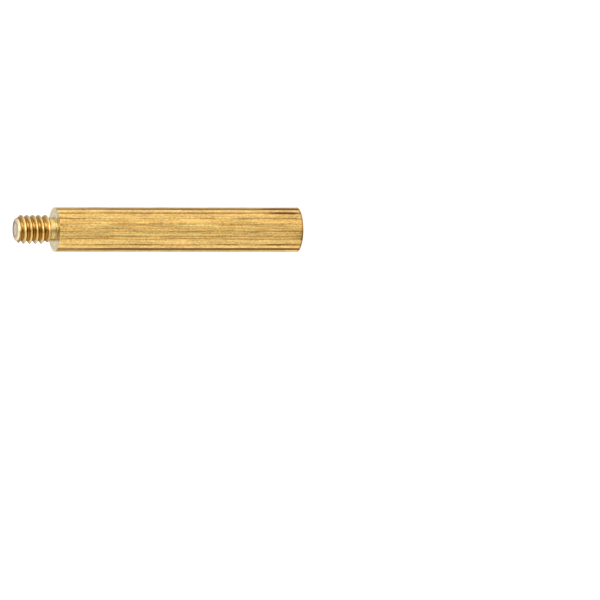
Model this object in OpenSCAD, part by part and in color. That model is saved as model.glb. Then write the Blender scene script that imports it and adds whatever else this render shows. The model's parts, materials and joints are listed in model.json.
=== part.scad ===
// Round brass standoff with a straight knurl.
// One turned piece: a ridged body that a thumb and finger can turn, a threaded stud at the top,
// and a blind threaded hole in the foot that takes the same stud of another standoff.
// It stands on its foot, at z = 0, with its axis on Z and the stud pointing up.
// The stud is drawn at the diameter over its thread, and the hole at the diameter inside its thread.

/* [Body] */
// Length of the body, from the foot to the shoulder
body_len = 25; // [16:0.5:60]
// Diameter of the body over its ridges
body_d = 4.4; // [4.2:0.1:8]
// Bevel that breaks the outer edge at the foot and the shoulder
edge_bevel = 0.05; // [0.04:0.01:0.2]

/* [Knurl] */
// Number of straight ridges round the body
ridge_count = 19; // [12:1:30]
// Depth of the grooves between the ridges
groove_depth = 0.08; // [0.06:0.01:0.2]
// Width of a groove where it opens at the top of the ridges
groove_w = 0.26; // [0.12:0.02:0.4]

/* [Stud] */
// Length of the stud, from the shoulder to the tip
stud_len = 4; // [3:0.25:8]
// Diameter of the stud over its thread
stud_d = 2.84; // [2.5:0.02:3.1]
// Depth of the thread, from its crest to its root
thread_depth = 0.27; // [0.2:0.01:0.35]
// How far the plain neck next to the shoulder lies below the thread's crest
neck_cut = 0.26; // [0.2:0.01:0.4]
// Length of the plain neck
neck_len = 0.75; // [0.4:0.05:1.2]
// Radius of the fillet between the neck and the shoulder
neck_fillet = 0.14; // [0.1:0.01:0.3]
// How far the bevel at the tip goes in below the thread's crest
tip_bevel = 0.29; // [0.1:0.01:0.5]
// Length from the start of that bevel to the end of the stud
tip_bevel_len = 0.45; // [0.4:0.05:0.8]
// Size of the small chamfer round the tip's face, and length of the plain band below it
tip_edge = 0.06; // [0.04:0.01:0.15]

/* [Hole] */
// Length of the hole's straight wall, with its bevel
hole_depth = 8; // [5:0.5:12]
// Play between a stud and the hole, on the diameter
thread_play = 0.1; // [0.04:0.01:0.2]
// Bevel round the mouth of the hole
mouth_bevel = 0.25; // [0.1:0.05:0.35]
// Angle of the cone that the drill leaves at the bottom
drill_angle = 118; // [90:1:140]

/* [Hidden] */

body_r = body_d / 2;
stud_r = stud_d / 2;
neck_r = stud_r - neck_cut;
tip_r = stud_r - tip_bevel;
tip_z = body_len + stud_len;
hole_r = stud_r - thread_depth + thread_play / 2;
drill_cone_h = hole_r / tan(drill_angle / 2);

// A cutter starts and ends this far outside what it cuts
overcut = 0.5;
// Segments of a full circle, which is rebuilt as a true round
round_fn = 96;

// The body before it is knurled, with both outer edges broken
module plain_body() {
    rotate_extrude($fn = round_fn)
        polygon([
            [0, 0],
            [body_r - edge_bevel, 0],
            [body_r, edge_bevel],
            [body_r, body_len - edge_bevel],
            [body_r - edge_bevel, body_len],
            [0, body_len]
        ]);
}

// One V groove along the whole body, at angle zero, widening outwards beyond the surface
module groove() {
    spread = groove_w / 2 / groove_depth;
    translate([0, 0, -overcut])
        linear_extrude(height = body_len + 2 * overcut)
            polygon([
                [body_r - groove_depth, 0],
                [body_r + overcut, -spread * (groove_depth + overcut)],
                [body_r + overcut, spread * (groove_depth + overcut)]
            ]);
}

module knurled_body() {
    difference() {
        plain_body();
        for (i = [0 : ridge_count - 1])
            rotate([0, 0, i * 360 / ridge_count])
                groove();
    }
}

// Fillet, neck, threaded length, bevel, band and chamfer, from the axis outwards.
// The foot of the profile starts inside the body so that the stud joins it.
module stud_profile() {
    fillet_r = neck_r + neck_fillet;
    fillet_z = body_len + neck_fillet;
    difference() {
        polygon([
            [0, body_len - overcut],
            [fillet_r, body_len - overcut],
            [fillet_r, fillet_z],
            [neck_r, fillet_z],
            [neck_r, body_len + neck_len],
            [stud_r, body_len + neck_len],
            [stud_r, tip_z - tip_bevel_len],
            [tip_r, tip_z - 2 * tip_edge],
            [tip_r, tip_z - tip_edge],
            [tip_r - tip_edge, tip_z],
            [0, tip_z]
        ]);
        translate([fillet_r, fillet_z])
            circle(r = neck_fillet, $fn = round_fn);
    }
}

module stud() {
    rotate_extrude($fn = round_fn)
        stud_profile();
}

// The blind hole with its bevelled mouth and the drill's cone, as a solid to take away
module hole() {
    rotate_extrude($fn = round_fn)
        polygon([
            [0, -overcut],
            [hole_r + mouth_bevel + overcut, -overcut],
            [hole_r, mouth_bevel],
            [hole_r, hole_depth],
            [0, hole_depth + drill_cone_h]
        ]);
}

module standoff() {
    color("#DEB062")
        difference() {
            union() {
                knurled_body();
                stud();
            }
            hole();
        }
}

standoff();
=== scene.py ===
# %% [markdown]
# # A knurled brass standoff
# A standoff holds a circuit board clear of what it is screwed to. This one is turned from one brass
# bar: a round body with a straight knurl to grip, a threaded stud on top, and a threaded hole in
# its foot. The imported model gives every size and place, so it is loaded first, and its box is
# kept, as it gives the body's radius and the tip's height.

# %% Load the imported model
import json
import math

import bpy
import numpy as np
from mathutils import Matrix, Vector


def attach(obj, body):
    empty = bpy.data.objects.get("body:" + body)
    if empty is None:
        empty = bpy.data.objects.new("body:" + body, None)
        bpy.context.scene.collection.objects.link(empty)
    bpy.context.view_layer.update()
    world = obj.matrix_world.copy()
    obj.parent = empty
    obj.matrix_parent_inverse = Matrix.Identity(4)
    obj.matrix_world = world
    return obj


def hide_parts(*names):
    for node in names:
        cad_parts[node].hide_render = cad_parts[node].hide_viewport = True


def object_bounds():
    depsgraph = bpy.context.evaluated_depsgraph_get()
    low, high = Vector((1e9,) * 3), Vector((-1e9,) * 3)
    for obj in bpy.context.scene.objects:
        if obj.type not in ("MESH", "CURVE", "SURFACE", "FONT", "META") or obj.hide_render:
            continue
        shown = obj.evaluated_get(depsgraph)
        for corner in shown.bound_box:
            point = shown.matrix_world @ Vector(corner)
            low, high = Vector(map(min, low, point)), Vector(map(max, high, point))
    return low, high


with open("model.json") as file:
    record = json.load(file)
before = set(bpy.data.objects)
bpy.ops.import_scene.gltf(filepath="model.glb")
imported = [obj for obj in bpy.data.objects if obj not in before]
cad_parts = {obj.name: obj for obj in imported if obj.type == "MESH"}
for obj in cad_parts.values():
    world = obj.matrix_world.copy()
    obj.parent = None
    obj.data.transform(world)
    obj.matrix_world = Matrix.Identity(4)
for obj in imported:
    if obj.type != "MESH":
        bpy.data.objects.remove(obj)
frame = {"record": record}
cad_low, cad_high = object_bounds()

MM = 0.001
print("CAD box in mm:", [round(v / MM, 2) for v in (*cad_low, *cad_high)])

# %% [markdown]
# The interfaces in the record hold the sizes that matter to a user, such as the stud's radius and
# the height of the shoulder. The finished mesh takes its sizes from them, in millimetres, so that
# it follows the CAD model. Only what is too fine for those interfaces has a value here.
#
# The hole is the one exception. Its interface lies at 4 mm, and the middle of the CAD model's
# wall is 0.125 mm higher, so the hole made here is that much lower at both ends: its wall runs
# from 0.125 to 7.875 mm, where the CAD model's runs from 0.25 to 8 mm.

# %% Sizes, in millimetres
mounts = {mount["name"]: mount for mount in frame["record"]["mounts"]}


def wall(name):
    """Radius, lowest z and highest z, in millimetres, of a wall whose middle is the mount."""
    middle = mounts[name]["pos_m"][2] / MM
    half = mounts[name]["dims"]["length_mm"] / 2
    return mounts[name]["dims"]["r_mm"], middle - half, middle + half


body_r = (cad_high.y - cad_low.y) / 2 / MM
body_len = mounts["shoulder"]["pos_m"][2] / MM
tip_z = cad_high.z / MM
stud_r, thread_start, bevel_start = wall("stud")
hole_r, mouth_bevel, hole_depth = wall("threaded_hole")
edge_bevel = 0.05
ridge_count = 19
groove_depth = 0.08
groove_w = 0.26
pitch = 0.6
thread_depth = 0.27
neck_cut = 0.26
neck_r = stud_r - neck_cut
neck_fillet = 0.14
tip_edge = 0.06
tip_cut = 0.35
tip_r = stud_r - tip_cut
drill_angle = 118
drill_end = hole_depth + hole_r / math.tan(math.radians(drill_angle / 2))
print(f"body {body_len:.1f} x {2 * body_r:.2f} mm")
print(f"stud {tip_z - body_len:.1f} x {2 * stud_r:.2f} mm")
print(f"hole {hole_depth:.3f} x {2 * hole_r:.2f} mm, with its bevel of {mouth_bevel:.3f} mm")

# %% [markdown]
# ## The skin as rings
# Every point of a turned part lies on a ring round its axis, so the whole skin is one stack of
# rings: up the hole, out over the foot, up the body, in over the shoulder, and up the stud to the
# tip. A ring's radius may change with the angle, which makes the knurl and the screw threads.
# Boolean cuts could make the same shapes, but a formula gives even faces and no seams.
#
# Each point also carries what the finish needs to know: how dark it has gone in a root, how much it
# sticks out and is rubbed bright or carries a painted highlight, and how much painted shade it has.

# %% Helpers for shapes
def smooth(t):
    """S-curve from 0 to 1: t squared times (3 - 2t), with t held between 0 and 1."""
    t = np.clip(t, 0, 1)
    return t * t * (3 - 2 * t)


def angles(count):
    """Angles round the axis of a ring of count points, starting at +X."""
    return np.arange(count) * 2 * math.pi / count


def turn_from(angle, middle):
    """Degrees between each angle and a middle one given in degrees, the shorter way round."""
    return np.degrees(np.abs(np.angle(np.exp(1j * (angle - math.radians(middle))))))


def band(angle, middle, half):
    """1 at a middle angle in degrees, falling to 0 at half degrees to each side of it."""
    return smooth(1 - turn_from(angle, middle) / half)


def noise(angle, z, cells, cell_len, seed):
    """Smooth seeded noise from -1 to 1 on the surface of a bar, with no seam.

    Random values sit on a net of cells round the bar, each cell_len long. A point takes the four
    round it, mixed by an S-curve of how far it is across the cell and along it.
    """
    rows = int(1.3 * tip_z / cell_len) + 3
    net = np.random.default_rng(seed).uniform(-1, 1, (rows, cells))
    across = np.mod(angle / (2 * math.pi), 1) * cells
    along = z / cell_len + 1
    i, j = np.floor(along).astype(int), np.floor(across).astype(int)
    s, t = smooth(along - i), smooth(across - j)
    low = net[i, j % cells] * (1 - t) + net[i, (j + 1) % cells] * t
    high = net[i + 1, j % cells] * (1 - t) + net[i + 1, (j + 1) % cells] * t
    return low * (1 - s) + high * s


# %% Rings
MARKS = ("tarnish", "wear_and_highlight", "painted_shade")


def rings(radius, z, tarnish=0.0, wear_and_highlight=0.0, painted_shade=0.0):
    """A zone of the skin: x = radius cos a, y = radius sin a, at height z, for every ring.

    radius has a row for each ring and a column for each angle. tarnish is 1 where a root has gone
    dark. The next mark is 1 on an edge that is rubbed bright or that carries a painted highlight,
    and the last is 1 where shade or a dark reflection is painted.
    """
    a = angles(radius.shape[1])
    layers = (radius * np.cos(a), radius * np.sin(a), z, tarnish, wear_and_highlight, painted_shade)
    return np.stack([np.broadcast_to(layer, radius.shape) for layer in layers], axis=-1)


def turned(points, profile, tarnish=0.0):
    """Plain round rings of that many points, through the (radius, z) pairs of a profile."""
    r, z = np.array(profile, float).T
    return rings(np.repeat(r[:, None], points, 1), z[:, None], tarnish)


# %% [markdown]
# The body needs far more points round than the hole does. Where the count halves, a band of
# triangles sews one ring to the next, and each end of the stack closes on a single point.

# %% Faces between rings
POINTS_PER_RIDGE = 20
BODY_POINTS = POINTS_PER_RIDGE * ridge_count
STUD_POINTS = BODY_POINTS // 2
HOLE_POINTS = BODY_POINTS // 4


def quads(first, rows, count):
    """Faces between the neighbouring rings of one zone, whose first point has that index."""
    i = first + count * np.arange(rows - 1)[:, None]
    j = np.arange(count)
    k = (j + 1) % count
    return np.stack([i + j, i + k, i + count + k, i + count + j], -1).reshape(-1, 4)


def fan(point, ring, count, upwards):
    """Triangles that close a ring of count points on one point, above or below it."""
    j = np.arange(count)
    k = (j + 1) % count
    a, b = (j, k) if upwards else (k, j)
    return np.stack([ring + a, ring + b, np.full(count, point)], -1)


def halved(low, high, count):
    """Three triangles for each of count steps, from a ring of 2 count points up to one of count."""
    j = np.arange(count)
    k = (j + 1) % count
    a, b, c = low + 2 * j, low + 2 * j + 1, low + 2 * k
    return np.concatenate([np.stack([a, b, high + j], -1), np.stack([b, high + k, high + j], -1),
                           np.stack([b, c, high + k], -1)])


def doubled(low, high, count):
    """Three triangles for each of count steps, from a ring of count points up to one of 2 count."""
    return halved(high, low, count)[:, ::-1]


def sewn(low, low_count, high, high_count):
    """The faces from the last ring of one zone, at index low, to the first ring of the next."""
    if low_count == high_count:
        return quads(low, 2, low_count)
    if low_count == 1:
        return fan(low, high, high_count, False)
    if high_count == 1:
        return fan(high, low, low_count, True)
    if low_count > high_count:
        return halved(low, high, high_count)
    return doubled(low, high, low_count)


# %% One mesh from all zones
SHARP_FROM = 50


def skin(name, zones):
    """One closed mesh from a list of (zone, finish), where a zone is an array of rings.

    The stack runs from inside the hole outwards and up to the tip, and in that order the faces
    point out of the metal. Each face takes the finish of the zone that it leads to. Edges that
    turn by more than SHARP_FROM degrees stay sharp.
    """
    faces, finishes, first, before = [], [], 0, 0
    for zone, finish in zones:
        rows, count = zone.shape[:2]
        new = [quads(first, rows, count)]
        if before:
            new.insert(0, sewn(first - before, before, first, count))
        faces += new
        finishes += [np.full(len(block), finish) for block in new]
        first += rows * count
        before = count
    points = np.concatenate([zone.reshape(-1, 3 + len(MARKS)) for zone, finish in zones])
    mesh = bpy.data.meshes.new(name)
    mesh.from_pydata(points[:, :3] * MM, [], [face for block in faces for face in block.tolist()])
    mesh.polygons.foreach_set("material_index", np.concatenate(finishes).astype(np.int32))
    mesh.polygons.foreach_set("use_smooth", np.ones(len(mesh.polygons), bool))
    for column, mark in enumerate(MARKS, start=3):
        layer = mesh.attributes.new(mark, "FLOAT", "POINT")
        layer.data.foreach_set("value", points[:, column].astype(np.float32))
    mesh.update()
    mesh.set_sharp_from_angle(angle=math.radians(SHARP_FROM))
    piece = bpy.data.objects.new(name, mesh)
    bpy.context.scene.collection.objects.link(piece)
    return piece


print("points round the body, the stud and the hole:", BODY_POINTS, STUD_POINTS, HOLE_POINTS)

# %% [markdown]
# ## The knurl
# Two hard wheels are pressed into the bar and leave straight grooves. The metal that they push
# aside rises at both edges of each groove, so a ridge that isn't quite full has two lips and a
# slight hollow between them. Cheap knurling is uneven: the lips break off and start again, the
# wheels slip a little, and their marks waver along the bar. A bump map could draw the grooves, but
# it would leave the bar's outline and its end plain. So all of that is in the radius, as a
# function of the angle and of z.

# %% Knurled body
RIDGE_MARGIN = 0.006
WAVER = 0.014
LIP_AT = 0.16
LIP_HALF = 0.06
HOLLOW = 0.012
COARSE_GRAIN = 0.004
FINE_GRAIN = 0.003
SCORES = (-53, -88, -107, -160, 20, 47, 103, 146)
SCORE_HALF = 1.4
SCORE_DEPTH = 0.02
# Lines of painted highlight on the ridges: middle and half width in degrees, and strength.
HIGHLIGHT_LINES = ((-118.4, 2.5, 0.6), (-103.4, 3.4, 1.0), (-85, 3.5, 0.5), (-77, 3, 0.6),
                (-58, 2.5, 0.7))


def slip(angle):
    """How far the wheels had slipped at an angle.

    2.3 degrees all round, 3.7 degrees times cos a, and 1.4 degrees times sin(3a + 120 degrees).
    """
    return np.radians(2.3 + 3.7 * np.cos(angle) + 1.4 * np.sin(3 * angle + math.radians(120)))


def groove_offset(angle, z):
    """Distance in mm, round the bar, from a point to the centre line of the nearest groove.

    The grooves are evenly spaced, apart from the slip and a waver along each one.
    """
    waver = WAVER / body_r * noise(angle, z, ridge_count, 2.2, 11)
    step = 2 * math.pi / ridge_count
    return np.abs(np.mod(angle + slip(angle) + waver + step / 2, step) - step / 2) * body_r


def score_mask(angle, z):
    """1 on the middle line of a score and 0 beside it, fading in and out along the bar."""
    mask = np.zeros(np.broadcast_shapes(angle.shape, z.shape))
    for seed, place in enumerate(SCORES, start=30):
        fade = smooth(0.6 + noise(angle, z, 1, 2.1, seed))
        mask = np.maximum(mask, np.clip(1 - turn_from(angle, place) / SCORE_HALF, 0, 1) * fade)
    return mask


def knurled_radius(angle, z):
    """Radius, tarnish, and wear with painted highlight, of the knurl.

    The offset from the nearest groove sets a V notch. Beyond it the ridge has a lip, and then a
    hollow whose depth comes from slow noise along the ridge. Fine noise, long in z, adds the
    grain that the wheels leave. A groove is dark in dashes, where it is deep enough to hold dirt.
    The ridges carry a painted highlight on the sides that face along X, by the square of cos a, and
    along a few lines that each have a middle and half a width in degrees, and a strength. The lips
    are rubbed bright as wear.
    """
    off = groove_offset(angle, z)
    notch = np.clip(1 - off / (groove_w / 2), 0, 1)
    deep = noise(angle, z, ridge_count, 2.6, 12)
    hollow = smooth((off - LIP_AT) / 0.1) * HOLLOW * (1 + noise(angle, z, ridge_count, 1.3, 13))
    grain = (COARSE_GRAIN * noise(angle, z, 150, 1.7, 14)
             + FINE_GRAIN * noise(angle, z, 95, 0.8, 15))
    score = score_mask(angle, z)
    cut = groove_depth * notch * (0.9 + 0.5 * deep)
    radius = body_r - RIDGE_MARGIN - cut - hollow + grain - SCORE_DEPTH * score
    dashes = 0.35 + 0.65 * smooth(0.4 + 1.2 * deep)
    tarnish = np.maximum(smooth(notch / 0.8) * dashes, 0.7 * score)
    lip = smooth(1 - np.abs(off - LIP_AT) / LIP_HALF) * smooth(0.6 + noise(angle, z, 60, 1.1, 16))
    ridge_top = smooth((off - groove_w / 2) / 0.06)
    # Painted highlights: ridges bright on the sides that face along X, and along the listed lines.
    highlight_and_wear = ridge_top * np.cos(angle) ** 2 * (0.8 + 0.2 * noise(angle, z, 40, 1.9, 17))
    for middle, half, strength in HIGHLIGHT_LINES:
        highlight_and_wear = np.maximum(highlight_and_wear, strength * band(angle, middle, half))
    return np.minimum(radius, body_r), tarnish, np.maximum(0.8 * lip, highlight_and_wear)


def broken_edge(z):
    """Radius limit that rounds off the body's two outer edges, as a quarter circle."""
    inside = np.minimum(z, body_len - z)
    over = np.clip(1 - inside / edge_bevel, 0, 1)
    return body_r - edge_bevel + edge_bevel * np.sqrt(1 - over * over)


# %% [markdown]
# Painted shade and painted dark reflections lie in a few bands along the body, and in some of them
# they are thickest near the foot, in a streak that tapers off up the bar. The foot's edge is
# darkened too, as painted shade where it meets the floor. Such a mark could be painted by hand on
# an image. As a value at each point it needs no image, and it follows the same angles as the
# grooves.

# %% The painted shade, and the whole wall
# Bands of painted shade and painted dark reflection: middle and half width in degrees, a level all
# along, and a level near the foot.
SHADE_BANDS = ((-21.5, 8, 0.8, 1.0), (-42.5, 4.5, 0.2, 1.0), (-40.2, 2.2, 0.4, 0.4),
                 (-51, 6, 0.15, 0.1), (-128, 4, 0.1, 0.1), (-133, 4, 0.15, 0.3),
                 (-152.2, 6, 1.0, 0.3))
SHADE_STREAK_TOP = 4.4
SHADED_FOOT = 0.22
BRIGHT_EDGE = 0.12
EDGE_ROWS = 6
WALL_ROWS = 115


def painted_shade_mask(angle, z):
    """How much painted shade each point has, from 0 to 1, in the bands and at the foot's edge.

    Each band has its middle and half its width in degrees, one level all along, and a second that
    rises fast from the foot and then tapers. It fades to its sides and towards the shoulder.
    """
    streak = smooth(z / 0.9) * smooth((SHADE_STREAK_TOP - z) / 2.6)
    shoulder_fade = 0.6 + 0.4 * smooth((body_len - z) / 6)
    # Painted shade along the foot's edge, where it meets the floor.
    painted_shade = 0.8 * smooth(1 - z / SHADED_FOOT) * np.ones_like(angle)
    for middle, half, along, near_foot in SHADE_BANDS:
        inside = smooth(1.4 - turn_from(angle, middle) / half)
        painted_shade = np.maximum(painted_shade, inside * (along * shoulder_fade + near_foot * streak))
    return np.clip(painted_shade, 0, 1)


def body_zone():
    """The knurled wall from the foot to the shoulder, with finer steps at both edges."""
    edge = edge_bevel * (1 - np.cos(np.linspace(0, math.pi / 2, EDGE_ROWS)))
    middle = np.linspace(edge_bevel, body_len - edge_bevel, WALL_ROWS)[1:-1]
    z = np.concatenate([edge, middle, body_len - edge[::-1]])[:, None]
    a = angles(BODY_POINTS)[None, :]
    radius, tarnish, wear_and_highlight = knurled_radius(a, z)
    # A painted highlight along the shoulder's edge.
    shoulder_highlight = smooth(1 - (body_len - z) / BRIGHT_EDGE)
    wear_and_highlight = np.maximum(wear_and_highlight, shoulder_highlight * (1 - tarnish))
    return rings(np.minimum(radius, broken_edge(z)), z, tarnish, wear_and_highlight, painted_shade_mask(a, z))


body = body_zone()
wall_r = np.hypot(body[..., 0], body[..., 1])
print(f"knurled wall: {len(body)} rings, radius {wall_r.min():.3f} to {wall_r.max():.3f} mm")

# %% [markdown]
# ## The threads
# A thread is a groove that climbs by one pitch each turn. On a ring at height z, the phase of the
# thread at angle a is z over the pitch, less a over a full turn, so one formula gives a
# right-hand thread over the whole zone. A Screw modifier winds a thread too, but its ends have to
# be closed and blended by hand. Here the outside thread fades into the neck, where the die
# stopped, and the bevel at the tip trims its first turn.

# %% Thread profile
THREAD_PHASE = 1.035
LAST_TURN_SHIFT = 0.1
CROWN_DROP = 0.04
CROWN_W = 0.3
rim_z = tip_z - CROWN_DROP


def thread_height(angle, z, crest, root):
    """Height of a right-hand thread, from 0 at its root to 1 at its crest.

    The distance from the crest's middle, in half pitches, runs from 0 to 1. crest and root are
    the flat shares of it, and the flank between them is an S-curve made a little straighter.
    """
    phase = (z - body_len - THREAD_PHASE) / pitch - angle / (2 * math.pi)
    from_crest = 2 * np.abs(np.mod(phase + 0.5, 1) - 0.5)
    t = np.clip((from_crest - crest) / (1 - crest - root), 0, 1)
    return 1 - (0.6 * t + 0.4 * smooth(t))


# %% [markdown]
# The stud's marks are painted light and shade: painted shade down one side, along the neck's
# underside and in the corner at the neck's foot, patches of painted dark reflection, painted shade
# on the crests of one side, and a line of painted glints in the roots. Each of its marks has a
# place of its own round the stud, given as an angle in degrees from +X. FIRST_ROOT is how far down
# from the rim the first root of the thread is, and NECK_RING_AT is the height above the shoulder of
# a painted highlight, a bright ring round the neck.

# %% Painted shade and glints on the stud
GLINT_LINE = -67
SHADED_SIDE = -135
SHADED_UNDERSIDE = -150
DARK_REFLECTION_AT = -101
SHADED_CORNER_AT = -95
DULL_SIDE_AT = 10
DULL_SIDE = 0.62
FIRST_ROOT = 0.25
NECK_RING_AT = 0.29


def stud_shade_and_glints(angle, z):
    """Painted shade in each root of the stud, a line of painted glints, and painted shade on its
    crests, from 0 to 1.

    Painted shade lies down one side of the stud, in a line along the neck's underside and in the
    corner at the neck's foot, with patches of painted dark reflection on the side of -Y. Along one
    line the roots lose some tarnish, as a painted glint. On the side of +X painted shade covers the
    crests too and takes their bright away.
    """
    glint = band(angle, GLINT_LINE, 24)
    on_neck = smooth((thread_start - z) / 0.1)
    side = 0.28 * smooth(1.6 - turn_from(angle, SHADED_SIDE) / 32)
    line = (0.4 + 0.5 * on_neck) * band(angle, SHADED_UNDERSIDE, 15)
    first_root = smooth(1 - np.abs(rim_z - FIRST_ROOT - z) / 0.17)
    patchy = 0.28 + 0.18 * noise(angle, z, 40, 0.3, 18) + 0.4 * first_root
    patches = patchy * smooth(1.5 - turn_from(angle, DARK_REFLECTION_AT) / 14)
    in_corner = smooth((body_len + 0.2 - z) / 0.1)
    corner = 0.6 * in_corner * smooth(1.8 - turn_from(angle, SHADED_CORNER_AT) / 42)
    painted_shade = np.maximum(np.maximum(side, line), np.maximum(patches, corner)) * (1 - glint)
    dull_side = DULL_SIDE * smooth(1.55 - turn_from(angle, DULL_SIDE_AT) / 40)
    return np.clip(np.maximum(painted_shade, dull_side), 0, 1), glint, dull_side


# %% Stud and hole
THREAD_ROWS = 150


def stud_zone():
    """The stud's wall, from the top of the neck's fillet to the edge of the tip.

    The radius goes from the neck's to the thread's as the thread grows, and the bevel limits it.
    """
    z = np.linspace(body_len + neck_fillet, rim_z, THREAD_ROWS)[1:, None]
    a = angles(STUD_POINTS)[None, :]
    last_turn = LAST_TURN_SHIFT * smooth((thread_start + 0.6 - z) / 0.5)
    height = thread_height(a, z + last_turn, crest=0.05, root=0.18)
    grown = smooth((z - thread_start + 0.25) / 0.4)
    thread = stud_r - thread_depth * (1 - height)
    radius = neck_r + (thread - neck_r) * grown
    bevel = np.interp(z, [bevel_start, rim_z - 2 * tip_edge, rim_z - tip_edge, rim_z],
                      [stud_r, tip_r + tip_edge, tip_r + tip_edge, tip_r])
    radius = np.minimum(radius, bevel)
    on_tip = smooth((z - rim_z + 2.4 * tip_edge) / (0.5 * tip_edge))
    painted_shade, glint, dull_side = stud_shade_and_glints(a, z)
    in_root = np.clip((stud_r - radius) / thread_depth, 0, 1) * (1 - on_tip)
    # Along the glint line the deepest roots lose their tarnish: a painted glint.
    tarnish = grown * in_root * (1 - 0.6 * glint * smooth((in_root - 0.75) / 0.2))
    # Bright crests: partly wear, partly a painted highlight.
    wear_and_highlight = smooth((height - 0.9) / 0.1) * grown * (radius < bevel - 0.02)
    # A painted highlight: a bright ring round the neck.
    neck_highlight = 0.9 * smooth(1 - np.abs(z - body_len - NECK_RING_AT) / 0.1)
    wear_and_highlight = np.maximum(wear_and_highlight, neck_highlight)
    # A painted highlight on the tip's edge; painted shade dulls the crests on one side.
    wear_and_highlight = np.maximum(wear_and_highlight, on_tip) * (1 - dull_side)
    return rings(radius, z, tarnish, wear_and_highlight, np.maximum(painted_shade * in_root, dull_side))


def hole_zone():
    """The hole's wall from its end to its mouth, as rings that come down towards the foot.

    The radius is the wall's, plus the thread's height times its depth. Near the end, where the
    tap doesn't reach, the wall is plain.
    """
    z = np.linspace(hole_depth, mouth_bevel, THREAD_ROWS)[:, None]
    a = angles(HOLE_POINTS)[None, :]
    height = thread_height(a, z, crest=0.2, root=0.16)
    tapped = smooth((hole_depth - 0.8 - z) / 0.5)
    return rings(hole_r + thread_depth * height * tapped, z, height * tapped, (1 - height) * tapped)


stud, hole = stud_zone(), hole_zone()
print(f"stud: {len(stud)} rings, {(bevel_start - thread_start) / pitch:.1f} turns of thread")
print(f"hole: {len(hole)} rings, {(hole_depth - mouth_bevel) / pitch:.1f} turns of thread")

# %% [markdown]
# ## The whole part
# The plain faces are a few rings each. A single flat polygon could close each of them, but rings
# can carry the marks and be shaped: the shoulder's face is a hair lower than its edge, and the
# tip has a low crown with one darker ring, which the cutter left.

# %% Faces, fillet and tip
DISH = 0.02
DISH_W = 0.06
FACE_GAP = 0.04
RING_AT = 0.7
RING_HALF = 0.2
TIP_SHADE_FROM = 0.45
TIP_SHADE_SIDE = 75


def face(points, r_from, r_to, z, rows):
    """A flat face, as rings whose radius goes evenly from one value to another."""
    return turned(points, [(r, z) for r in np.linspace(r_from, r_to, rows)])


def fillet_zone():
    """The fillet between the shoulder and the neck, with the stud's painted shade on it, strongest
    in its corner.

    It is a quarter circle: as t goes from 0 to a quarter turn, the radius falls by sin t and z
    rises by 1 - cos t, both times the fillet's size.
    """
    t = np.linspace(0, math.pi / 2, 9)[:, None]
    a = angles(STUD_POINTS)[None, :]
    radius = np.repeat(neck_r + neck_fillet * (1 - np.sin(t)), STUD_POINTS, 1)
    z = body_len - DISH + neck_fillet * (1 - np.cos(t))
    return rings(radius, z, painted_shade=stud_shade_and_glints(a, z)[0])


def tip_zone():
    """The tip's end: a shallow cone inside the rim, then a flat face with one darker ring.

    The cone drops by CROWN_DROP over its width of CROWN_W. Towards the rim, both carry a painted
    dark reflection on one side.
    """
    cone = np.linspace(tip_r - 0.02, tip_r - CROWN_W, 6)
    flat = np.linspace(tip_r - CROWN_W - FACE_GAP, 0.08, 12)
    r = np.concatenate([cone, flat])[:, None]
    outer = np.clip((r - tip_r + CROWN_W) / CROWN_W, 0, 1)
    z = tip_z - CROWN_DROP * outer
    ring = 0.15 + 0.5 * smooth(1 - np.abs(r - RING_AT) / RING_HALF)
    # Painted dark reflection towards the rim, on the far side.
    one_side = smooth(1.9 - turn_from(angles(STUD_POINTS), TIP_SHADE_SIDE) / 45)
    tip_shade = 0.85 * smooth((r - TIP_SHADE_FROM) / 0.2) * one_side
    return rings(np.repeat(r, STUD_POINTS, 1), z, tarnish=ring, painted_shade=tip_shade)


# %% [markdown]
# The zones go into one list in the order in which the skin passes them, each with one of four
# finishes: knurled, turned, threaded or bored.

# %% Put the zones together
KNURLED, TURNED, THREADED, BORED = range(4)
FOOT_GAP = 0.03
FOOT_RIM = 0.2
mouth = [(hole_r + 0.5 * mouth_bevel, 0.5 * mouth_bevel), (hole_r + mouth_bevel, 0)]
drill_cone = [(0.5 * hole_r, 0.5 * (drill_end + hole_depth))]
foot_face = face(STUD_POINTS, hole_r + mouth_bevel + FOOT_GAP, body_r - FOOT_RIM, 0, 5)
shoulder_face = face(STUD_POINTS, body_r - edge_bevel - DISH_W, neck_r + neck_fillet + FACE_GAP,
                     body_len - DISH, 6)
zones = [
    (turned(1, [(0, drill_end)], tarnish=1), BORED),
    (turned(HOLE_POINTS, drill_cone, tarnish=1), BORED),
    (hole, BORED),
    (turned(STUD_POINTS, mouth), TURNED),
    (foot_face, TURNED),
    (body, KNURLED),
    (shoulder_face, TURNED),
    (fillet_zone(), THREADED),
    (stud, THREADED),
    (tip_zone(), TURNED),
    (turned(1, [(0, tip_z)]), TURNED),
]
standoff = skin("standoff_turned", zones)
triangles = sum(len(polygon.vertices) - 2 for polygon in standoff.data.polygons)
print("triangles:", triangles)

# %% Place
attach(standoff, "root")
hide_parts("standoff")
print("piece:", standoff.name)

# %% [markdown]
# ## Finishes
# All of it is one metal, so the four finishes share their effects as node groups. Streaks run along
# the bar where it was drawn and knurled. Tool marks run round it, or in rings on a face, where a
# cutter went. The colour follows the marks that the points carry: dark in the roots, where oil and
# air have tarnished it, bright where an edge is rubbed or a highlight is painted, and dark brown
# where shade is painted.

# %% Helpers for nodes
def add(tree, kind, inputs=None, **settings):
    """One node of a tree, with its settings, and each named input either linked or set."""
    node = tree.nodes.new(kind)
    for key, value in settings.items():
        setattr(node, key, value)
    for key, value in (inputs or {}).items():
        if isinstance(value, bpy.types.NodeSocket):
            tree.links.new(value, node.inputs[key])
        else:
            node.inputs[key].default_value = value
    return node


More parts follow.
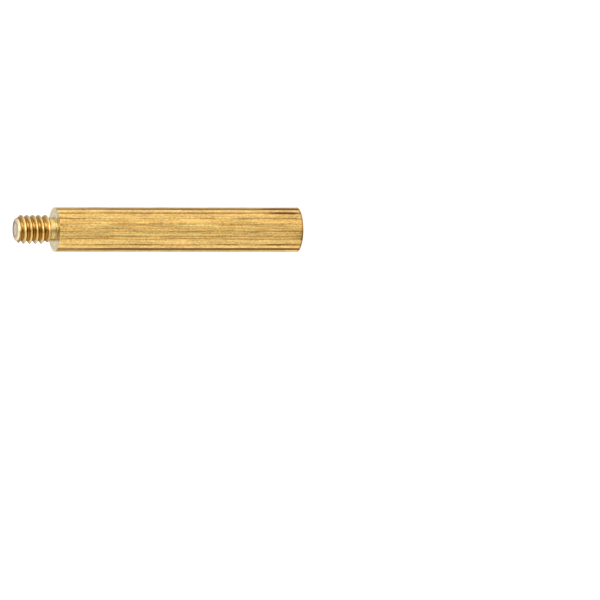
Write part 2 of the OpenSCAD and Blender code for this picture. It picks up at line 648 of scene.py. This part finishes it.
def calc(tree, operation, a, b=0.0):
    """The result of a Math node on two sockets or numbers."""
    return add(tree, "ShaderNodeMath", {0: a, 1: b}, operation=operation).outputs[0]


def blend(tree, amount, a, b):
    """The result of a colour Mix node, where amount runs from a to b."""
    return add(tree, "ShaderNodeMix", {0: amount, 6: a, 7: b}, data_type="RGBA").outputs[2]


def ramp(tree, value, low, high, to_low=0.0, to_high=1.0):
    """The result of a Map Range node, which takes low to to_low and high to to_high, clamped."""
    node = add(tree, "ShaderNodeMapRange", {"Value": value, "From Min": low, "From Max": high,
                                            "To Min": to_low, "To Max": to_high})
    return node.outputs["Result"]


def new_group(name, inputs, outputs):
    """An empty shader group, its input sockets by name, and a function that sets its outputs."""
    tree = bpy.data.node_groups.new(name, "ShaderNodeTree")
    for label, (kind, value) in inputs.items():
        socket = tree.interface.new_socket(label, in_out="INPUT", socket_type="NodeSocket" + kind)
        socket.default_value = value
    for label, kind in outputs.items():
        tree.interface.new_socket(label, in_out="OUTPUT", socket_type="NodeSocket" + kind)
    entry = add(tree, "NodeGroupInput")
    return tree, entry.outputs, lambda results: add(tree, "NodeGroupOutput", results)


# %% [markdown]
# Streaks are ordinary three-dimensional noise, squeezed across the bar and stretched along it.
# Because it reads the object's own coordinates, it has no seam and stays on the metal.

# %% Group: streaks along the bar
streak_group, given, finish_group = new_group(
    "bar_streaks",
    {"Width": ("Float", 0.3), "Length": ("Float", 4.0), "Shift": ("Float", 0.0)},
    {"Streak": "Float"})
place = add(streak_group, "ShaderNodeTexCoord").outputs["Object"]
across = calc(streak_group, "DIVIDE", 1 / MM, given["Width"])
along = calc(streak_group, "DIVIDE", 1 / MM, given["Length"])
squeeze = add(streak_group, "ShaderNodeCombineXYZ", {"X": across, "Y": across, "Z": along})
squeezed = add(streak_group, "ShaderNodeVectorMath", {0: place, 1: squeeze.outputs[0]},
               operation="MULTIPLY")
moved = add(streak_group, "ShaderNodeVectorMath", {0: squeezed.outputs[0], 1: given["Shift"]},
            operation="ADD")
cloud = add(streak_group, "ShaderNodeTexNoise",
            {"Vector": moved.outputs[0], "Scale": 1.0, "Detail": 2.0, "Roughness": 0.6})
finish_group({"Streak": ramp(streak_group, cloud.outputs["Fac"], 0.3, 0.7)})
print("group:", streak_group.name)

# %% Group: marks that a cutter leaves round the bar or on a face
marks_group, given, finish_group = new_group(
    "tool_marks",
    {"Pitch": ("Float", 0.08)},
    {"Round Bar": "Float", "On Face": "Float"})
place = add(marks_group, "ShaderNodeTexCoord").outputs["Object"]
axes = add(marks_group, "ShaderNodeSeparateXYZ", {"Vector": place}).outputs
flat = add(marks_group, "ShaderNodeCombineXYZ", {"X": axes["X"], "Y": axes["Y"]}).outputs[0]
radius = add(marks_group, "ShaderNodeVectorMath", {0: flat}, operation="LENGTH").outputs["Value"]
per_metre = calc(marks_group, "DIVIDE", 1 / MM, given["Pitch"])
results = {}
for label, distance in (("Round Bar", axes["Z"]), ("On Face", radius)):
    steps = calc(marks_group, "MULTIPLY", distance, per_metre)
    lines = add(marks_group, "ShaderNodeTexNoise", {"W": steps, "Scale": 1.0, "Detail": 1.0},
                noise_dimensions="1D")
    results[label] = ramp(marks_group, lines.outputs["Fac"], 0.3, 0.7)
finish_group(results)
print("group:", marks_group.name)

# %% [markdown]
# The colour starts as plain brass. It goes towards the tarnish by the first mark, towards bright
# metal by the second, which is wear and painted highlight, and towards a dark brown by the third,
# which is painted shade and covers all the rest. The streaks make it a little lighter and darker
# before the painted shade goes on.

# %% Group: colour of brass by depth, by wear with painted highlight, and by painted shade
# Dark brown of the painted shade and the painted dark reflections.
PAINTED_SHADE_COLOUR = (0.15, 0.04, 0.001, 1)
PAINTED_SHADE_COVER = 0.92
colour_group, given, finish_group = new_group(
    "brass_colour",
    {"Metal": ("Color", (0.8, 0.5, 0.15, 1)), "Tarnish": ("Color", (0.25, 0.1, 0.02, 1)),
     "Bright": ("Color", (1, 0.8, 0.4, 1)), "Streak": ("Float", 0.5),
     "Streak Strength": ("Float", 0.2), "Tarnish Strength": ("Float", 1.0),
     "Wear Strength": ("Float", 1.0)},
    {"Color": "Color"})
tarnish, wear_and_highlight, painted_shade = [
    add(colour_group, "ShaderNodeAttribute", attribute_name=mark).outputs["Fac"] for mark in MARKS]
patchy = ramp(colour_group, given["Streak"], 0, 1, 0.7, 1.3)
dark = calc(colour_group, "MULTIPLY", ramp(colour_group, tarnish, 0.12, 0.9), patchy)
dark = calc(colour_group, "MULTIPLY", dark, given["Tarnish Strength"])
dark = calc(colour_group, "MINIMUM", dark, 1.0)
colour = blend(colour_group, dark, given["Metal"], given["Tarnish"])
highlight_and_wear = calc(colour_group, "MULTIPLY", wear_and_highlight, given["Wear Strength"])
colour = blend(colour_group, highlight_and_wear, colour, given["Bright"])
swing = calc(colour_group, "MULTIPLY", calc(colour_group, "SUBTRACT", 0.5, given["Streak"]),
             given["Streak Strength"])
tone = calc(colour_group, "ADD", swing, 1.0)
colour = add(colour_group, "ShaderNodeVectorMath", {0: colour, "Scale": tone},
             operation="SCALE").outputs[0]
# Painted shade goes on last.
shade_amount = calc(colour_group, "MULTIPLY", painted_shade, PAINTED_SHADE_COVER)
finish_group({"Color": blend(colour_group, shade_amount, colour, PAINTED_SHADE_COLOUR)})
print("group:", colour_group.name)

# %% [markdown]
# Each finish is a metal shader fed by those groups. The constants that are the same all over,
# such as full metalness, are set on the shader itself.

# %% Material builder
BUMP_DEPTH = 0.02


def use(tree, group, **inputs):
    """A group placed in a material, with its inputs linked or set. Underscores become spaces."""
    node = add(tree, "ShaderNodeGroup", node_tree=group)
    for key, value in inputs.items():
        socket = node.inputs[key.replace("_", " ")]
        if isinstance(value, bpy.types.NodeSocket):
            tree.links.new(value, socket)
        else:
            socket.default_value = (*value, 1) if isinstance(value, tuple) else value
    return node.outputs


def brass(name, colour, roughness, height, bump):
    """Give the standoff one more material, which is metal all over.

    Each of the three functions takes the material's tree and returns what feeds the colour, the
    roughness or the height of the bump, whose strength comes last.
    """
    material = bpy.data.materials.new(name)
    material.use_nodes = True
    tree = material.node_tree
    shader = tree.nodes["Principled BSDF"]
    shader.inputs["Metallic"].default_value = 1.0
    relief = add(tree, "ShaderNodeBump", {"Height": height(tree), "Strength": bump,
                                          "Distance": BUMP_DEPTH * MM})
    tree.links.new(colour(tree), shader.inputs["Base Color"])
    tree.links.new(roughness(tree), shader.inputs["Roughness"])
    tree.links.new(relief.outputs[0], shader.inputs["Normal"])
    standoff.data.materials.append(material)


# %% Colours of the four finishes
BROWNED = (0.30, 0.15, 0.03)


def knurled_colour(tree):
    """Yellow brass with strong streaks of three sizes along the bar."""
    coarse = use(tree, streak_group, Width=0.3, Length=6.0)["Streak"]
    fine = use(tree, streak_group, Width=0.1, Length=2.0, Shift=7.0)["Streak"]
    grain = use(tree, streak_group, Width=0.12, Length=0.25, Shift=3.0)["Streak"]
    both = calc(tree, "ADD", calc(tree, "MULTIPLY", coarse, 0.25),
                calc(tree, "MULTIPLY", fine, 0.3))
    streaks = calc(tree, "ADD", both, calc(tree, "MULTIPLY", grain, 0.45))
    return use(tree, colour_group, Metal=(0.74, 0.455, 0.13), Tarnish=BROWNED,
               Bright=(1.0, 0.72, 0.28), Streak=streaks, Streak_Strength=1.3,
               Tarnish_Strength=0.42, Wear_Strength=0.9)["Color"]


def turned_colour(tree):
    """Paler brass, fresh from the cutter, with fine rings."""
    marks = use(tree, marks_group, Pitch=0.09)["On Face"]
    return use(tree, colour_group, Metal=(0.70, 0.585, 0.38), Tarnish=BROWNED,
               Bright=(0.98, 0.75, 0.4), Streak=marks, Streak_Strength=0.5)["Color"]


def threaded_colour(tree):
    """Bright brass that goes to a deep orange brown in the thread's roots."""
    marks = use(tree, marks_group, Pitch=0.05)["Round Bar"]
    return use(tree, colour_group, Metal=(0.88, 0.66, 0.25), Tarnish=(0.38, 0.155, 0.012),
               Bright=(1.0, 0.86, 0.55), Streak=marks, Streak_Strength=0.4)["Color"]


def bored_colour(tree):
    """Dull brass, as only a screw ever rubs the inside of the hole."""
    marks = use(tree, marks_group, Pitch=0.05)["Round Bar"]
    return use(tree, colour_group, Metal=(0.6, 0.38, 0.12), Tarnish=(0.14, 0.06, 0.01),
               Bright=(0.8, 0.55, 0.22), Streak=marks, Streak_Strength=0.5)["Color"]


# %% The four finishes
def streak_roughness(low, high, width, length):
    """A function that makes a roughness between two values, in streaks along the bar."""
    return lambda tree: ramp(tree, use(tree, streak_group, Width=width, Length=length)["Streak"],
                             0, 1, low, high)


brass("brass_knurled", knurled_colour, streak_roughness(0.28, 0.42, 0.15, 2.5),
      lambda tree: use(tree, streak_group, Width=0.06, Length=1.5)["Streak"], 0.5)
brass("brass_turned", turned_colour, streak_roughness(0.16, 0.26, 0.3, 0.3),
      lambda tree: use(tree, marks_group, Pitch=0.07)["On Face"], 0.3)
brass("brass_threaded", threaded_colour, streak_roughness(0.10, 0.18, 0.2, 0.2),
      lambda tree: use(tree, marks_group, Pitch=0.04)["Round Bar"], 0.3)
brass("brass_bored", bored_colour, streak_roughness(0.35, 0.50, 0.2, 0.2),
      lambda tree: use(tree, marks_group, Pitch=0.05)["Round Bar"], 0.3)
print("finishes:", [material.name for material in standoff.data.materials])

# %% [markdown]
# ## Camera
# The part lies across the view, and the camera looks at it a little from the tip's side, so that
# the shoulder's face shows. The part itself stands on its foot, so it is the camera that is
# rolled: the part's axis runs across its view, and +X is up. A very long lens, two metres away,
# keeps the bar's two edges parallel. An orthographic camera would do that too, but a lens is
# what a real camera has. Where the shoulder's middle comes in the frame is given in millimetres
# left of the frame's middle and above it.

# %% Camera
look_down = math.radians(17.3)
frame_width = 59.0
shoulder_left = 24.17
shoulder_up = 6.945
camera_data = bpy.data.cameras.new("camera")
camera_data.lens = 1200
camera_data.sensor_width = 36
camera_data.clip_start = 0.01
camera_data.clip_end = 10
camera = bpy.data.objects.new("camera", camera_data)
bpy.context.scene.collection.objects.link(camera)
back = Vector((0, -math.cos(look_down), math.sin(look_down)))
right = Vector((0, -math.sin(look_down), -math.cos(look_down)))
up = Vector((1, 0, 0))
shoulder = Vector((0, 0, body_len))
middle = shoulder + right * shoulder_left - up * shoulder_up
distance = frame_width * camera_data.lens / camera_data.sensor_width
turn = Matrix((right, up, back)).transposed().to_4x4()
camera.matrix_world = Matrix.Translation((middle + back * distance) * MM) @ turn
bpy.context.scene.camera = camera
print(f"camera {distance:.0f} mm away, over a field {frame_width} mm wide")

# %% [markdown]
# ## Floor and light
# Shiny metal shows its surroundings more than its lamps. The floor is pale and the room is a
# soft white. Metal needs some contrast in that white to read as metal, so both are darker on the
# side that the camera looks from, and also low down behind the part, which draws a fine dark
# line along its edges. Dark cards could stand there, but they would show in other views. The
# floor's dark parts are seen by reflections only.

# %% What a reflection sees
DARK_SIDE = (-0.06, -0.96, 0.28)
DARK_LEVEL = 0.38


def stage_glow(tree, to_camera, to_metal):
    """Strength that is one value for the camera and another for reflections, and 0 for light."""
    rays = add(tree, "ShaderNodeLightPath").outputs
    seen = calc(tree, "MULTIPLY", rays["Is Camera Ray"], to_camera)
    mirrored = calc(tree, "MAXIMUM", rays["Is Glossy Ray"], rays["Is Transmission Ray"])
    return calc(tree, "ADD", seen, calc(tree, "MULTIPLY", mirrored, to_metal))


def toward(tree, direction, side, start, full, level):
    """1 away from a side, and level where the direction's cosine with that side reaches full."""
    cosine = add(tree, "ShaderNodeVectorMath", {0: direction, 1: side}, operation="DOT_PRODUCT")
    return ramp(tree, cosine.outputs["Value"], start, full, 1.0, level)


print("the camera's side reflects at", DARK_LEVEL, "of the room's strength")

# %% Floor
FRONT_SPOT = (-0.28, -0.96, 0)
BACK_SIDE = (-0.25, 0.91, -0.33)
FLOOR_DARK = 0.05
FLOOR_SEEN = 0.75
FLOOR_MIRRORED = 0.72
floor_half = 3.0
corners = [(-floor_half, -floor_half, 0), (floor_half, -floor_half, 0),
           (floor_half, floor_half, 0), (-floor_half, floor_half, 0)]
floor_mesh = bpy.data.meshes.new("floor")
floor_mesh.from_pydata(corners, [], [(0, 1, 2, 3)])
floor = bpy.data.objects.new("floor", floor_mesh)
bpy.context.scene.collection.objects.link(floor)
paint = bpy.data.materials.new("floor_white")
paint.use_nodes = True
tree = paint.node_tree
shader = tree.nodes["Principled BSDF"]
shader.inputs["Base Color"].default_value = (0.6, 0.6, 0.6, 1)
shader.inputs["Roughness"].default_value = 1.0
shader.inputs["Specular IOR Level"].default_value = 0.0
shader.inputs["Emission Color"].default_value = (1, 1, 1, 1)
place = add(tree, "ShaderNodeTexCoord").outputs["Object"]
outwards = add(tree, "ShaderNodeVectorMath", {0: place}, operation="NORMALIZE").outputs[0]
level = calc(tree, "MULTIPLY", toward(tree, outwards, FRONT_SPOT, 0.92, 0.98, FLOOR_DARK),
             toward(tree, outwards, BACK_SIDE, 0.52, 0.76, FLOOR_DARK))
glow = stage_glow(tree, FLOOR_SEEN, calc(tree, "MULTIPLY", level, FLOOR_MIRRORED))
tree.links.new(glow, shader.inputs["Emission Strength"])
floor_mesh.materials.append(paint)
print("floor:", 2 * floor_half, "m square")

# %% Room
ROOM_LIGHT = 0.6
ROOM_EXTRA = 0.4
BEHIND_LEVEL = 0.4
world = bpy.data.worlds.new("room")
world.use_nodes = True
tree = world.node_tree
background = tree.nodes["Background"]
background.inputs["Color"].default_value = (1, 1, 1, 1)
direction = add(tree, "ShaderNodeTexCoord").outputs["Generated"]
level = calc(tree, "MULTIPLY", toward(tree, direction, DARK_SIDE, 0.86, 0.96, DARK_LEVEL),
             toward(tree, direction, BACK_SIDE, 0.76, 0.9, BEHIND_LEVEL))
strength = calc(tree, "ADD", stage_glow(tree, ROOM_EXTRA, ROOM_EXTRA), ROOM_LIGHT)
strength = calc(tree, "MULTIPLY", strength, level)
strength = calc(tree, "MAXIMUM", strength, stage_glow(tree, 1.0, 0.0))
tree.links.new(strength, background.inputs["Strength"])
bpy.context.scene.world = world
print("room:", ROOM_LIGHT, "as light,", round(ROOM_LIGHT + ROOM_EXTRA, 2), "in reflections")


# %% Lamps
def lamp(name, place, size, power):
    """A square soft lamp at a place in metres, aimed at the middle of the part."""
    data = bpy.data.lights.new(name, "AREA")
    data.size = size
    data.energy = power
    stand = bpy.data.objects.new(name, data)
    bpy.context.scene.collection.objects.link(stand)
    stand.location = place
    aim = Vector((0, 0, tip_z / 2 * MM)) - Vector(place)
    stand.rotation_euler = aim.to_track_quat("-Z", "Y").to_euler()
    print(f"{name}: {aim.length:.2f} m away, {power} W")


lamp("side_lamp", (0.35, -0.36, 0.12), 0.25, 0.2)
lamp("top_lamp", (0.05, -0.22, 0.42), 0.25, 0.4)
bpy.context.scene.view_settings.view_transform = "Standard"
